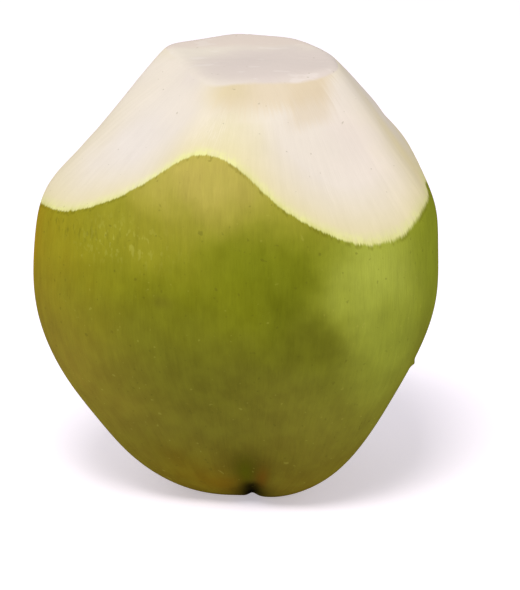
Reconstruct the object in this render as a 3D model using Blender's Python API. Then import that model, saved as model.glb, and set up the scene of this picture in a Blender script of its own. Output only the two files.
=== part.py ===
"""Young green coconut, trimmed for drinking.

One solid: a three-lobed husk that stands on a small flat at its blossom end. Its stem
end is pared to a blunt cone by eight knife strokes and levelled by one more across the
top. Metres, +Z up, -Y is the front. The origin is on the ground, under the middle of
the fruit's bounding box.
"""
from math import acos, atan2, cos, exp, radians, sin

import bmesh
import bpy
from mathutils import Vector

NAME = "green_coconut"

# The uncut husk. Its radius, from a centre inside the belly, is a cosine series in the
# angle from the stem end: mean, taper, stretch, then the finer terms that square the
# shoulders and draw in the foot.
BELLY_HEIGHT = 0.0870
OUTLINE = (0.0905, 0.0148, 0.0107, -0.0019, -0.0001, -0.0027, -0.0015)
LOBES = 3
LOBE_DEPTH = 0.055
LOBE_AZIMUTH = radians(45.5)
LOBE_GAIN_BELOW = 3.8
LEAN = Vector((-0.0029, 0.0065))

# The cleft between two lobes at the blossom end, running up from the foot at the front.
CLEFT_DEPTH = 0.0040
CLEFT_POLAR = radians(160)
CLEFT_AZIMUTH = radians(-1)
CLEFT_REACH = radians(10)
CLEFT_HALF_WIDTH = 0.0038

# Knife strokes down the sides: azimuth from the front towards +X, slope of the cut's
# outward direction above level, and distance from the axis where it leaves the crown.
CROWN_HEIGHT = 0.1792
CROWN_TILT = radians(4.8)
CROWN_AZIMUTH = radians(-16.5)
STROKES = (
    ("front", 5.6, 65.1, 0.0201),
    ("front right", 39.9, 38.1, 0.0319),
    ("right", 90.6, 35.5, 0.0354),
    ("back right", 120, 47.5, 0.0339),
    ("back", 165.4, 42.5, 0.0378),
    ("back left", -151.7, 40, 0.0389),
    ("left", -105.5, 36.6, 0.0396),
    ("front left", -66.3, 49.1, 0.0231),
)

# Mesh fineness.
SEGMENTS = 84
RINGS = 44
ON_PLANE = 0.000001
WELD = 0.00005
SHARP_ANGLE = radians(20)


def direction(polar, azimuth):
    """Unit vector at an angle from straight up and an azimuth from the front."""
    return Vector((sin(polar) * sin(azimuth), -sin(polar) * cos(azimuth), cos(polar)))


def cleft(polar, azimuth):
    """Depth of the blossom-end cleft: a long soft groove, half hidden by the foot."""
    along = (polar - CLEFT_POLAR) / CLEFT_REACH
    turn = (azimuth - CLEFT_AZIMUTH + radians(180)) % radians(360) - radians(180)
    across = OUTLINE[0] * sin(polar) * turn / CLEFT_HALF_WIDTH
    return CLEFT_DEPTH * exp(-along * along - across * across)


def husk_radius(polar, azimuth):
    """Radius of the uncut husk from the centre of its belly."""
    radius = sum(term * cos(order * polar) for order, term in enumerate(OUTLINE))
    side = sin(polar) ** 2
    swell = 1 + LOBE_GAIN_BELOW * min(cos(polar), 0) ** 2
    radius *= 1 + LOBE_DEPTH * side * swell * cos(LOBES * (azimuth - LOBE_AZIMUTH))
    radius += side * (LEAN.x * sin(azimuth) - LEAN.y * cos(azimuth))
    return radius - cleft(polar, azimuth)


def grow_husk(bm):
    """A unit sphere whose vertices are moved out to the husk's radius."""
    bmesh.ops.create_uvsphere(bm, u_segments=SEGMENTS, v_segments=RINGS, radius=1)
    centre = Vector((0, 0, BELLY_HEIGHT))
    for vert in bm.verts:
        polar = acos(max(-1, min(1, vert.co.z)))
        azimuth = atan2(vert.co.x, -vert.co.y)
        vert.co = centre + direction(polar, azimuth) * husk_radius(polar, azimuth)


def slice_off(bm, point, normal, material_index):
    """Cut away all that lies beyond a plane and close the cut with one flat face."""
    geometry = bm.verts[:] + bm.edges[:] + bm.faces[:]
    cut = bmesh.ops.bisect_plane(
        bm, geom=geometry, dist=ON_PLANE, plane_co=point, plane_no=normal, clear_outer=True)
    rim = [item for item in cut["geom_cut"] if isinstance(item, bmesh.types.BMEdge)]
    filled = bmesh.ops.contextual_create(bm, geom=rim)
    for face in filled["faces"]:
        face.material_index = material_index


def trim(bm):
    """The knife's strokes down the sides, the one across the crown, and the foot."""
    for _, azimuth, slope, rim in STROKES:
        outward = direction(radians(90), radians(azimuth))
        point = outward * rim + Vector((0, 0, CROWN_HEIGHT))
        normal = direction(radians(90 - slope), radians(azimuth))
        slice_off(bm, point, normal, 1)
    crown = direction(CROWN_TILT, CROWN_AZIMUTH)
    slice_off(bm, Vector((0, 0, CROWN_HEIGHT)), crown, 1)
    slice_off(bm, Vector((0, 0, 0)), Vector((0, 0, -1)), 0)


def centre_over_origin(bm):
    """Move the fruit sideways so that the middle of its bounding box is over the origin."""
    low = Vector([min(vert.co[axis] for vert in bm.verts) for axis in range(3)])
    high = Vector([max(vert.co[axis] for vert in bm.verts) for axis in range(3)])
    middle = (low + high) / 2
    bmesh.ops.translate(bm, verts=bm.verts, vec=(-middle.x, -middle.y, 0))


def finish(name, colour, roughness):
    """A plain Principled material."""
    material = bpy.data.materials.new(name)
    material.use_nodes = True
    shader = material.node_tree.nodes["Principled BSDF"]
    shader.inputs["Base Color"].default_value = (*colour, 1)
    shader.inputs["Roughness"].default_value = roughness
    shader.inputs["Metallic"].default_value = 0
    return material


def build_coconut():
    bm = bmesh.new()
    grow_husk(bm)
    trim(bm)
    centre_over_origin(bm)
    bmesh.ops.remove_doubles(bm, verts=bm.verts, dist=WELD)
    bmesh.ops.recalc_face_normals(bm, faces=bm.faces)
    mesh = bpy.data.meshes.new(NAME)
    bm.to_mesh(mesh)
    bm.free()
    mesh.materials.append(finish("green skin", (0.25, 0.27, 0.03), 0.4))
    mesh.materials.append(finish("cut husk", (0.87, 0.80, 0.70), 0.75))
    mesh.shade_smooth()
    mesh.set_sharp_from_angle(angle=SHARP_ANGLE)
    coconut = bpy.data.objects.new(NAME, mesh)
    bpy.context.collection.objects.link(coconut)


for leftover in list(bpy.data.objects):
    bpy.data.objects.remove(leftover)
build_coconut()
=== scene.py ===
"""A young green coconut, trimmed for drinking, on a pale floor in soft studio light."""

from math import cos, pi, radians, sin

import bpy
import numpy as np
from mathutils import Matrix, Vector


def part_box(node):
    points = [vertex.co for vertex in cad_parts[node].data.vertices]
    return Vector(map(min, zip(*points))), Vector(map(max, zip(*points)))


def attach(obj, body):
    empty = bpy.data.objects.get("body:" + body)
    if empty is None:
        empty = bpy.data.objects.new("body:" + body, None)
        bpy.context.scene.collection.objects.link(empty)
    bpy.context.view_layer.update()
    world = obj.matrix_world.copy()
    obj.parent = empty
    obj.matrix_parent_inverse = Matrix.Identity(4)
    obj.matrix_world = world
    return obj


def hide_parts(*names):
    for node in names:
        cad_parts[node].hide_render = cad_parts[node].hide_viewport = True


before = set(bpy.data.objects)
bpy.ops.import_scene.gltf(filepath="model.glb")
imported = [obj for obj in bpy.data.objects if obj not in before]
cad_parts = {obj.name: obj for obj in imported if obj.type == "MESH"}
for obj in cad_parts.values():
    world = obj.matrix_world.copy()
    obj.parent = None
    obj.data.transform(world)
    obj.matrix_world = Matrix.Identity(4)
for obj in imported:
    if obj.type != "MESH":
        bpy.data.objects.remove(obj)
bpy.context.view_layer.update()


# ---------------------------------------------------------------------------------------
# The grown husk. A coconut's husk swells into three blunt lobes, squarer at the stem end
# and drawn in at the blossom end, where two of the lobes close over a soft cleft.

BELLY_HEIGHT = 0.0870
OUTLINE = (0.0905, 0.0148, 0.0107, -0.0019, -0.0001, -0.0027, -0.0015)
LOBES = 3
LOBE_DEPTH = 0.055
LOBE_AZIMUTH = radians(45.5)
LOBE_GAIN_BELOW = 3.8
LEAN_X, LEAN_Y = -0.0029, 0.0065

# The cleft is a shallow dimple with a narrow crevice at its foot.
DIMPLE = {"depth": 0.0022, "polar": 157, "azimuth": -2, "reach": 12, "half_width": 0.0060}
CREVICE = {"depth": 0.0016, "polar": 170, "azimuth": 5, "reach": 14, "half_width": 0.0022}


def directions(polar, azimuth):
    """Unit vectors at an angle from straight up and an azimuth from the front."""
    flat = np.sin(polar)
    return np.stack([flat * np.sin(azimuth), -flat * np.cos(azimuth), np.cos(polar)], -1)


def groove(polar, azimuth, shape):
    """Depth of a long soft groove that runs up and down the husk."""
    along = (polar - radians(shape["polar"])) / radians(shape["reach"])
    turn = azimuth - radians(shape["azimuth"])
    across = OUTLINE[0] * np.sin(polar) * turn / shape["half_width"]
    return shape["depth"] * np.exp(-along ** 4 - across ** 2)


def husk_radius(polar, azimuth):
    """Radius of the uncut husk from the centre of its belly."""
    radius = sum(term * np.cos(order * polar) for order, term in enumerate(OUTLINE))
    side = np.sin(polar) ** 2
    swell = 1 + LOBE_GAIN_BELOW * np.minimum(np.cos(polar), 0) ** 2
    radius = radius * (1 + LOBE_DEPTH * side * swell * np.cos(LOBES * (azimuth - LOBE_AZIMUTH)))
    radius += side * (LEAN_X * np.sin(azimuth) - LEAN_Y * np.cos(azimuth))
    return radius - groove(polar, azimuth, DIMPLE) - groove(polar, azimuth, CREVICE)


# ---------------------------------------------------------------------------------------
# The knife cuts. A heavy knife pares the stem end to a blunt cone in eight strokes, then
# levels it with one across the top. Each stroke is a plane, very slightly rounded where
# it leaves the skin and where it meets the next.

CROWN_HEIGHT = 0.1792
CROWN_TILT = radians(4.8)
CROWN_AZIMUTH = radians(-16.5)
# Each stroke's azimuth from the front towards +X, its slope above level, and its distance
# from the axis where it leaves the crown.
STROKES = (
    ("front", 5.6, 65.1, 0.0201),
    ("front right", 39.9, 38.1, 0.0319),
    ("right", 90.6, 35.5, 0.0354),
    ("back right", 120, 47.5, 0.0339),
    ("back", 165.4, 42.5, 0.0378),
    ("back left", -151.7, 40, 0.0389),
    ("left", -105.5, 36.6, 0.0396),
    ("front left", -66.3, 49.1, 0.0231),
)
# How softly neighbouring cuts, the crown, the skin and the foot run into each other.
STROKE_BLEND = 0.0028
CROWN_BLEND = 0.0008
SKIN_BLEND = 0.0020
SIDE_BLEND = 0.0008
FOOT_BLEND = 0.0003
NO_CUT = 1.0
GRAZING = 0.05


def blend_lowest(radii, softness):
    """The lowest of several radii, rounded off where two of them are close."""
    lowest = np.min(radii, axis=0)
    total = sum(np.exp((lowest - radius) / softness) for radius in radii)
    return lowest - softness * np.log(total)


def plane_radius(toward, normal, point):
    """How far a plane lies from the belly's centre, looking along each direction."""
    facing = toward @ normal
    reach = float(np.dot(normal, point))
    return np.where(facing > GRAZING, reach / np.maximum(facing, GRAZING), NO_CUT)


def stroke_radius(toward, azimuth, slope, rim):
    """A knife stroke that leaves the crown at a distance from the axis."""
    azimuth = radians(azimuth)
    normal = directions(radians(90 - slope), azimuth)
    point = np.array([rim * sin(azimuth), -rim * cos(azimuth), CROWN_HEIGHT - BELLY_HEIGHT])
    return plane_radius(toward, normal, point)


# ---------------------------------------------------------------------------------------
# The fruit's surface, with its slight waves, the ribs of its fibres, a knob low on the
# right and a bulge on the left cut. It is a cube's gridded faces blown up to a sphere,
# which keeps the mesh even, gathered a little at the cleft and moved out to the husk.

GRID = 128
CLEFT_GATHER = 0.6
SKIN_WAVE, SKIN_WAVE_LENGTH = 0.00022, 0.045
CUT_WAVE, CUT_WAVE_LENGTH = 0.00022, 0.030
RIB_HEIGHT, RIB_SPACING = 0.00004, 0.0045
MEAN_RADIUS = 0.09
RIBS_AROUND, RIBS_ALONG = 0.08, 0.006
KNOB = {"azimuth": 66, "height": 0.0620, "reach": 0.0756, "half_width": 0.0014, "rise": 0.0009}
LEFT_BULGE = {"azimuth": -90, "height": 0.1280, "reach": 0.0850, "half_width": 0.0110, "rise": 0.0014}
CHANCE = np.random.default_rng(7)


def sphere_grid(count):
    """Unit directions and quads of a cube of count x count faces, blown up to a sphere."""
    steps = np.tan(np.linspace(-pi / 4, pi / 4, count + 1))
    index = {}
    corners = []
    quads = []
    for axis in range(3):
        for sign in (-1, 1):
            for row in range(count):
                for column in range(count):
                    quad = []
                    for i, j in ((0, 0), (0, 1), (1, 1), (1, 0)):
                        key = [0, 0, 0]
                        key[axis] = sign * count
                        key[(axis + 1) % 3] = 2 * (row + i) - count
                        key[(axis + 2) % 3] = 2 * (column + j) - count
                        key = tuple(key)
                        if key not in index:
                            index[key] = len(corners)
                            corners.append([steps[(k + count) // 2] for k in key])
                        quad.append(index[key])
                    quads.append(quad if sign < 0 else quad[::-1])
    corners = np.array(corners)
    return corners / np.linalg.norm(corners, axis=1)[:, None], quads


def waves(vectors, length, count=24):
    """Smooth unevenness, mostly between -1 and 1: a sum of plane waves in all directions."""
    total = np.zeros(len(vectors))
    for _ in range(count):
        heading = CHANCE.normal(size=vectors.shape[1])
        heading *= 2 * pi / length / np.linalg.norm(heading)
        total += np.sin(vectors @ heading * CHANCE.uniform(0.6, 1.4) + CHANCE.uniform(0, 2 * pi))
    return total / np.sqrt(count / 2) / 1.6


def swelling(toward, shape):
    """A low round rise, at an azimuth and a height on the surface."""
    polar = np.arccos((shape["height"] - BELLY_HEIGHT) / shape["reach"])
    way = directions(polar, radians(shape["azimuth"]))
    gap = np.linalg.norm(toward - way, axis=1) * shape["reach"] / shape["half_width"]
    return shape["rise"] * np.exp(-gap ** 2)


toward, quads = sphere_grid(GRID)
polar = np.arccos(np.clip(toward[:, 2], -1, 1))
azimuth = np.arctan2(toward[:, 0], -toward[:, 1])
near_foot = np.clip((np.degrees(polar) - 120) / 35, 0, 1)
azimuth -= CLEFT_GATHER * near_foot ** 2 * (3 - 2 * near_foot) * np.sin(azimuth)
toward = directions(polar, azimuth)

natural = husk_radius(polar, azimuth)
strokes = [stroke_radius(toward, *stroke[1:]) for stroke in STROKES]
below_crown = np.clip((np.degrees(polar) - 20) / 25, 0, 1)
near_crown = 0.42 + 0.38 * np.maximum(np.sin(azimuth), 0)
sides = blend_lowest(strokes, STROKE_BLEND * np.maximum(near_crown, below_crown))
crown_normal = directions(CROWN_TILT, CROWN_AZIMUTH)
crown = plane_radius(toward, crown_normal, np.array([0, 0, CROWN_HEIGHT - BELLY_HEIGHT]))
cut = blend_lowest([sides + swelling(toward, LEFT_BULGE), crown], CROWN_BLEND)

# The grain hardly changes from stem to foot, so that its waves run along the fibres.
ball = toward * MEAN_RADIUS
grain = np.stack([np.sin(azimuth) * RIBS_AROUND, np.cos(azimuth) * RIBS_AROUND,
                  toward[:, 2] * RIBS_ALONG], -1)
cut += CUT_WAVE * waves(ball, CUT_WAVE_LENGTH) + RIB_HEIGHT * waves(grain, RIB_SPACING)
uncut = natural + SKIN_WAVE * waves(ball, SKIN_WAVE_LENGTH) + swelling(toward, KNOB)

foot = plane_radius(toward, np.array([0, 0, -1]), np.array([0, 0, -BELLY_HEIGHT]))
shoulder = SKIN_BLEND + SIDE_BLEND * np.sin(azimuth) ** 8
radius = blend_lowest([blend_lowest([uncut, cut], shoulder), foot], FOOT_BLEND)

points = toward * radius[:, None] + np.array([0, 0, BELLY_HEIGHT])
cad_low, cad_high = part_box("green_coconut")
offset = (Vector(cad_low) + Vector(cad_high)) / 2 - Vector((points.min(0) + points.max(0)) / 2)
axis_x, axis_y = offset.x, offset.y
points += np.array([axis_x, axis_y, 0])

mesh = bpy.data.meshes.new("trimmed_coconut")
mesh.from_pydata([tuple(point) for point in points], [], quads)
mesh.shade_smooth()
for name, values in (("cut_depth", natural - cut), ("crown_edge", sides - crown)):
    mesh.attributes.new(name, "FLOAT", "POINT").data.foreach_set("value", values)
coconut = bpy.data.objects.new("trimmed_coconut", mesh)
bpy.context.collection.objects.link(coconut)
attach(coconut, "root")
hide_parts("green_coconut")


# ---------------------------------------------------------------------------------------
# The finish. The thin matt skin is olive green, with ochre, tan and pale patches from the
# sun, and over them painted highlights and a painted reflection on its lit sides and painted
# shade down its front and towards its foot. The fibre that the knife has bared goes from
# lime under the skin to pinkish white.

MM = 1000


class Wire:
    """A shader socket that takes part in arithmetic and adds the nodes that it needs."""

    def __init__(self, tree, socket=None):
        self.tree = tree
        self.socket = socket

    def node(self, kind, settings=(), values=(), output=0):
        """Add a node: its settings first, then what its sockets hold or are linked to."""
        made = self.tree.nodes.new("ShaderNode" + kind)
        for name, setting in dict(settings).items():
            if name == "stops":
                ramp = made.color_ramp.elements
                while len(ramp) < len(setting):
                    ramp.new(0.5)
                for element, (place, colour) in zip(ramp, setting):
                    element.position = place
                    element.color = colour
            else:
                setattr(made, name, setting)
        for key, value in dict(values).items():
            if isinstance(value, Wire):
                self.tree.links.new(value.socket, made.inputs[key])
            else:
                made.inputs[key].default_value = value
        return Wire(self.tree, made.outputs[output])

    def maths(self, operation, *values):
        return self.node("Math", {"operation": operation}, dict(enumerate(values)))

    def __add__(self, other):
        return self.maths("ADD", self, other)

    def __radd__(self, other):
        return self.maths("ADD", other, self)

    def __sub__(self, other):
        return self.maths("SUBTRACT", self, other)

    def __rsub__(self, other):
        return self.maths("SUBTRACT", other, self)

    def __mul__(self, other):
        return self.maths("MULTIPLY", self, other)

    def __rmul__(self, other):
        return self.maths("MULTIPLY", other, self)

    def __truediv__(self, other):
        return self.maths("DIVIDE", self, other)

    def step(self, low, high):
        """0 below low, 1 above high and smooth between; low may be above high."""
        return self.node("MapRange", {"interpolation_type": "SMOOTHSTEP"},
                         {0: self, 1: low, 2: high, 3: 0.0, 4: 1.0})

    def mix(self, first, second):
        """A colour that goes from first to second as this goes from 0 to 1."""
        return self.node("Mix", {"data_type": "RGBA"}, {0: self, 6: first, 7: second}, output=2)

    def shade(self, colour):
        """A colour made darker or lighter by multiplying it by this."""
        return self.node("VectorMath", {"operation": "SCALE"}, {0: colour, "Scale": self})

    def stretch(self, x, y, z):
        """This vector with its three parts multiplied."""
        return self.node("VectorMath", {"operation": "MULTIPLY"}, {0: self, 1: (x, y, z)})

    def noise(self, scale, detail=2.0, roughness=0.5):
        """Cloudy noise over this vector, mostly between 0.3 and 0.7."""
        return self.node("TexNoise", (), {"Vector": self, "Scale": scale, "Detail": detail,
                                          "Roughness": roughness})

    def ramp(self, *stops):
        """A colour ramp: pairs of this wire's value and a colour."""
        low, high = stops[0][0], stops[-1][0]
        places = [((value - low) / (high - low), colour) for value, colour in stops]
        return self.node("ValToRGB", {"stops": places}, {0: (self - low) / (high - low)})


def paint(red, green, blue):
    """A colour on the usual 0 to 255 scale, as a shader takes it."""
    return (*[((level / 255 + 0.055) / 1.055) ** 2.4 for level in (red, green, blue)], 1.0)


material = bpy.data.materials.new("coconut_husk")
material.use_nodes = True
tree = material.node_tree
shader = tree.nodes["Principled BSDF"]
start = Wire(tree)
place = start.node("TexCoord", output="Object")
centred = start.node("VectorMath", {"operation": "SUBTRACT"}, {0: place, 1: (axis_x, axis_y, 0)})
flat = centred.stretch(1, 1, 0)
around = start.node("VectorMath", {"operation": "NORMALIZE"}, {0: flat})
out_x = start.node("SeparateXYZ", (), {0: centred}, output="X")
out_y = start.node("SeparateXYZ", (), {0: centred}, output="Y")
height = start.node("SeparateXYZ", (), {0: centred}, output="Z") * MM
turn = start.maths("ARCTAN2", out_x, out_y * -1) * (180 / pi)
cut_depth = start.node("Attribute", {"attribute_name": "cut_depth"}, output="Fac") * MM
crown_edge = start.node("Attribute", {"attribute_name": "crown_edge"}, output="Fac") * MM

# Noises: clouds in space, and grain that follows the fibres from the stem to the foot.
clouds = centred.noise(26, 3)
blotches = centred.noise(75, 3)
specks = centred.noise(420, 1)
meridian = start.node("VectorMath", {"operation": "ADD"}, {0: around, 1: centred.stretch(0, 0, 1.6)})
streaks = meridian.noise(38, 3)
fibres = meridian.noise(125, 2)
turn_warp = (clouds - 0.5) * 26 + (blotches - 0.5) * 8
height_warp = (clouds - 0.5) * -22 + (blotches - 0.5) * 10


def near(turn_at, height_at, wide, tall, warp=1.0):
    """1 at an azimuth and a height, fading to 0 over a width in degrees and a tallness in mm."""
    away = start.maths("WRAP", turn + turn_warp * warp - turn_at, 180, -180) / wide
    above = (height + height_warp * warp - height_at) / tall
    return start.maths("EXPONENT", (away * away + above * above) * -1)


def patch(ground, turn_at, height_at, wide, tall, strength, colour, warp=1.0):
    """Paint a soft-edged patch over a colour; warp is how far the noise bends its edge."""
    return (near(turn_at, height_at, wide, tall, warp) * strength).mix(ground, paint(*colour))


# Depth under the skin. The blade has scraped a little past its cut at the left, and the
# skin comes up round the end of the cut at the right.
edge = cut_depth + (fibres - 0.5) * 1.3 + (streaks - 0.5) * 1.2
edge = edge + near(-88, 126, 16, 7, 0.0) * 2.2 - near(86, 134, 15, 13, 0.0) * 6.0
edge = edge - near(-13, 157, 18, 12, 0.0) * 0.9

# The skin's colour by height: browner and darker towards the foot, partly its own colour and
# partly painted shade, and paler towards the top, partly painted light. Then its patches:
# azimuth in degrees, height in mm, width in degrees, tallness in mm, strength and colour;
# those that are painted highlight, shade or reflection say so. The small one after them is a
# bruise.
skin = (height + height_warp).ramp(
    (5, paint(102, 88, 24)), (40, paint(99, 94, 30)), (70, paint(97, 96, 27)),
    (100, paint(103, 107, 17)), (120, paint(114, 119, 18)), (140, paint(143, 140, 42)),
    (160, paint(168, 157, 72)))
SKIN_PATCHES_AND_PAINTED_SHADING = (
    # Yellow-lime at the top, partly its own colour and partly a painted highlight where it faces up
    # to the lamps.
    (-16, 152, 26, 20, 0.90, (170, 157, 78)),
    (-82, 112, 34, 36, 1.00, (147, 134, 30)),
    # An orange strip along the left edge: its own orange, painted lighter as painted light from the
    # left.
    (-88, 104, 13, 22, 0.75, (172, 134, 28)),
    (-78, 62, 34, 32, 0.85, (132, 116, 42)),
    (-34, 124, 22, 16, 0.70, (136, 132, 36)),
    # A pale band down the ridge on the right: a painted highlight.
    (40, 110, 17, 28, 1.00, (162, 170, 68)),
    (48, 74, 20, 30, 0.85, (138, 147, 50)),
    (70, 112, 16, 28, 0.80, (137, 149, 42)),
    (34, 38, 26, 24, 0.50, (112, 106, 36)),
    (4, 116, 18, 14, 0.70, (106, 113, 19)),
    # A dark band down the front, between the sides that the lamps light: painted shade.
    (10, 99, 9, 22, 0.65, (82, 87, 12)),
    (18, 84, 9, 13, 0.50, (80, 80, 16)),
    # A paler strip along the right edge: a painted reflection.
    (86, 94, 12, 26, 0.60, (134, 138, 58)),
    (-20, 76, 16, 18, 0.40, (97, 97, 25)),
    (-32, 12, 26, 12, 0.70, (107, 89, 18)),
    (125, 96, 26, 34, 0.60, (150, 156, 62)),
    (-150, 84, 30, 30, 0.60, (140, 122, 36)),
    (172, 60, 24, 30, 0.50, (92, 95, 24)),
)
for one in SKIN_PATCHES_AND_PAINTED_SHADING:
    skin = patch(skin, *one)
skin = patch(skin, -27, 98, 4, 3, 0.55, (88, 82, 24), warp=0.3)

# Mottling, pale scuffs and short dark ticks, then over them the cleft's brown and olive
# patches, black with painted shade at the foot of its crevice, specks and a dark rim here
# and there along the cut.
mottle = centred.stretch(1, 1, 0.6).noise(150, 3)
skin = (1 + (streaks - 0.5) * 0.20 + (fibres - 0.5) * 0.18 + (blotches - 0.5) * 0.28).shade(skin)
skin = (mottle.step(0.30, 0.70) * 0.14).mix(skin, paint(134, 138, 36))
skin = (mottle.step(0.60, 0.30) * 0.08).mix(skin, paint(88, 84, 12))
scuffs = centred.stretch(1.6, 1, 0.8).noise(420, 1).step(0.56, 0.66) * near(-40, 121, 14, 8, 0.4)
skin = (scuffs * 0.30).mix(skin, paint(172, 172, 78))
ticks = centred.stretch(1.4, 1, 0.35).noise(480, 1).step(0.56, 0.66) * near(-62, 122, 22, 4, 0.0)
skin = (ticks * 0.40).mix(skin, paint(92, 88, 20))
CLEFT_PATCHES_AND_PAINTED_SHADE = (
    (0, 19, 14, 12, 0.72, (60, 53, 10)),
    (-3, 17, 6, 8, 0.75, (76, 80, 8)),
    (8, 15, 4, 7, 0.70, (98, 66, 14)),
    (-20, 11, 14, 5, 0.50, (112, 84, 14)),
    # The near-black foot of the crevice: painted shade.
    (1, 8, 9, 4, 0.85, (16, 11, 5)),
    (2, 3, 18, 6, 1.00, (7, 5, 3)),
)
for one in CLEFT_PATCHES_AND_PAINTED_SHADE:
    skin = patch(skin, *one, warp=0.1)
skin = (specks.step(0.70, 0.78) * 0.30).mix(skin, paint(70, 66, 20))
skin = (specks.step(0.28, 0.23) * 0.20).mix(skin, paint(165, 163, 70))
dark_rim = edge.step(-1.5, -0.6) * streaks.step(0.46, 0.60)
skin = (dark_rim * 0.35).mix(skin, paint(88, 84, 14))

# The husk's colour by its depth under the skin, from lime to pinkish white, with patches;
# the one on the right facet is partly painted light.
husk = (edge + (blotches - 0.5) * 2).ramp(
    (-0.4, paint(186, 187, 100)), (0.6, paint(204, 202, 134)), (1.8, paint(211, 205, 154)),
    (4, paint(214, 204, 166)), (9, paint(217, 207, 180)), (18, paint(220, 211, 197)))
HUSK_PATCHES_AND_PAINTED_LIGHT = (
    (-6, 160, 11, 13, 0.60, (212, 203, 160)),
    (-55, 152, 22, 14, 0.60, (218, 211, 205)),
    (-88, 142, 16, 18, 0.65, (216, 206, 178)),
    (52, 154, 14, 16, 0.55, (220, 208, 199)),
    # Cream-yellow on the right facet: its own colour, painted lighter as painted light on a face
    # turned from the key light.
    (80, 142, 17, 24, 0.85, (226, 213, 168)),
    (-50, 177, 26, 5, 0.55, (209, 199, 191)),
)
for one in HUSK_PATCHES_AND_PAINTED_LIGHT:
    husk = patch(husk, *one)

# The air has tanned a band just under the crown's front edge; the blade combed it.
front = (out_y * MM).step(-6, -18)
tan_x = out_x * MM + (fibres - 0.5) * 4 + (streaks - 0.5) * 6
tan_z = height + (streaks - 0.5) * 6 + (blotches - 0.5) * 5
tan_band = front * tan_z.step(166, 172) * tan_x.step(-18, -7) * tan_x.step(34, 27)
husk = (tan_band * 0.70).mix(husk, paint(209, 192, 162))
husk = patch(husk, -16, 174, 16, 4, 0.55, (207, 192, 148), 0.0)
tan_end = front * tan_z.step(160, 166) * tan_x.step(12, 20) * tan_x.step(36, 28)
husk = (tan_end * 0.50).mix(husk, paint(206, 189, 158))
combed = near(-15, 165, 8, 5, 0.0) * meridian.noise(260, 1).step(0.50, 0.62)
husk = (combed * 0.5).mix(husk, paint(228, 219, 200))
husk = (0.98 + (fibres - 0.5) * 0.05 + (streaks - 0.5) * 0.05 + (blotches - 0.5) * 0.08).shade(husk)
lime = (specks * 0.5 + fibres * 0.5).step(0.42, 0.56) * edge.step(4.5, 0.2)
husk = (lime * blotches.step(0.36, 0.58) * 0.55).mix(husk, paint(216, 218, 142))

# The crown is damp, so it is darker and has a weak gloss, with a stain and a few painted
# glints: short light streaks painted as highlights.
stain_x = (out_x * MM - 10) / 30 + (clouds - 0.5) * 0.8
stain_y = (out_y * MM + 7) / 24 + (blotches - 0.5) * 0.8
stained = (stain_x * stain_x + stain_y * stain_y).step(1.7, 0.2)
crown_stain_and_glints = stained.mix(paint(221, 212, 197), paint(210, 198, 190))
blush = (out_y * MM + (blotches - 0.5) * 8).step(14, 22)
crown_stain_and_glints = (blush * 0.6).mix(crown_stain_and_glints, paint(213, 196, 186))
# Short light streaks on the crown: painted highlights.
painted_glints = centred.stretch(0.8, 1.6, 1).noise(110, 2).step(0.60, 0.68)
crown_stain_and_glints = (painted_glints * 0.28).mix(crown_stain_and_glints, paint(230, 222, 215))
crown_reach = crown_edge + near(48, 175, 22, 5, 0.0) * 1.2
on_crown = (crown_reach + (blotches - 0.5) * 1.2).step(-1.5, -0.4)
husk = on_crown.mix(husk, crown_stain_and_glints)
husk = (specks.step(0.755, 0.79) * 0.40).mix(husk, paint(150, 140, 112))

# Skin and husk meet on a ragged line that softens where the right cut runs out.
soft_end = near(60, 122, 22, 14, 0.0)
is_cut = (edge * (1 - soft_end * 0.6)).step(-0.35, 0.45)
colour = is_cut.mix(skin, husk)
tree.links.new(colour.socket, shader.inputs["Base Color"])
roughness = 0.58 + (streaks - 0.5) * 0.15 + is_cut * 0.1 - is_cut * on_crown * 0.3
tree.links.new(roughness.socket, shader.inputs["Roughness"])
tree.links.new((is_cut * on_crown * 0.5).socket, shader.inputs["Coat Weight"])
relief = (streaks * 0.4 + fibres * 0.35) * (1 - is_cut * 0.6) + blotches * 0.5 + is_cut * 0.3
raised = start.node("Bump", (), {"Strength": 0.5, "Distance": 0.0005, "Height": relief})
tree.links.new(raised.socket, shader.inputs["Normal"])
shader.inputs["Specular IOR Level"].default_value = 0.0
shader.inputs["Coat Roughness"].default_value = 0.25
mesh.materials.append(material)


# ---------------------------------------------------------------------------------------
# The studio: a pale floor in an even, near-white light, with a soft key light high in front
# and a wider, weaker soft box at each side.

FLOOR_HALF = 4.0
FLOOR_LEVEL = -0.0001
LIGHT_AIM = Vector((0, 0, BELLY_HEIGHT))

# Each light's name, azimuth, elevation, distance, side, power and colour.
KEY = ("key light", -10, 54, 3.0, 1.0, 66.0, (1.0, 0.985, 0.96))
LEFT = ("left light", -60, 48, 3.0, 1.4, 12.5, (1.0, 0.99, 0.98))
RIGHT = ("right light", 80, 32, 3.0, 1.2, 4.0, (1.0, 0.99, 0.98))


def soft_light(name, azimuth, elevation, distance, side, power, colour):
    """A square area light that faces the fruit."""
    light = bpy.data.lights.new(name, "AREA")
    light.size = side
    light.energy = power
    light.color = colour
    lamp = bpy.data.objects.new(name, light)
    toward_light = Vector(directions(radians(90 - elevation), radians(azimuth)))
    lamp.location = toward_light * distance + LIGHT_AIM
    lamp.rotation_euler = toward_light.to_track_quat("Z", "Y").to_euler()
    bpy.context.collection.objects.link(lamp)


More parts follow.
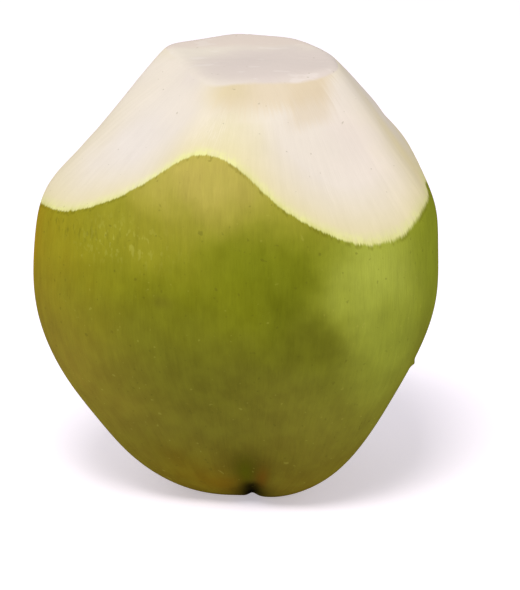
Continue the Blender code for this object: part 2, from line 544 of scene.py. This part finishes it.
for light in (KEY, LEFT, RIGHT):
    soft_light(*light)

floor_mesh = bpy.data.meshes.new("floor")
SQUARE = ((-1, -1), (1, -1), (1, 1), (-1, 1))
floor_corners = [(x * FLOOR_HALF, y * FLOOR_HALF, FLOOR_LEVEL) for x, y in SQUARE]
floor_mesh.from_pydata(floor_corners, [], [(0, 1, 2, 3)])
floor = bpy.data.objects.new("floor", floor_mesh)
bpy.context.collection.objects.link(floor)
floor_material = bpy.data.materials.new("pale_floor")
floor_material.use_nodes = True
floor_shader = floor_material.node_tree.nodes["Principled BSDF"]
floor_shader.inputs["Base Color"].default_value = (0.80, 0.76, 0.82, 1)
floor_shader.inputs["Roughness"].default_value = 0.9
floor_shader.inputs["Emission Color"].default_value = (0.98, 0.925, 1.0, 1)
floor_shader.inputs["Emission Strength"].default_value = 0.44
floor_shader.inputs["Specular IOR Level"].default_value = 0.2
floor_mesh.materials.append(floor_material)

world = bpy.data.worlds.new("white room")
world.use_nodes = True
world.node_tree.nodes["Background"].inputs["Color"].default_value = (0.97, 0.96, 1.0, 1)
world.node_tree.nodes["Background"].inputs["Strength"].default_value = 0.42
bpy.context.scene.world = world
bpy.context.scene.view_settings.view_transform = "Standard"


# ---------------------------------------------------------------------------------------
# The camera looks down a little on the fruit's front, through a long lens from far enough
# off to flatten it. It aims beside the fruit's axis, a little under half its height.

CAMERA_ELEVATION = radians(16.7)
CAMERA_DISTANCE = 1.5
CAMERA_LENS = 226
AIM_ASIDE, AIM_HEIGHT = 0.0041, 0.0816
AIM = Vector((axis_x + AIM_ASIDE, axis_y, AIM_HEIGHT))

camera_data = bpy.data.cameras.new("camera")
camera_data.lens = CAMERA_LENS
camera_data.clip_end = 20
camera = bpy.data.objects.new("camera", camera_data)
back_off = Vector((0, -cos(CAMERA_ELEVATION), sin(CAMERA_ELEVATION)))
camera.location = AIM + back_off * CAMERA_DISTANCE
camera.rotation_euler = back_off.to_track_quat("Z", "Y").to_euler()
bpy.context.collection.objects.link(camera)
bpy.context.scene.camera = camera
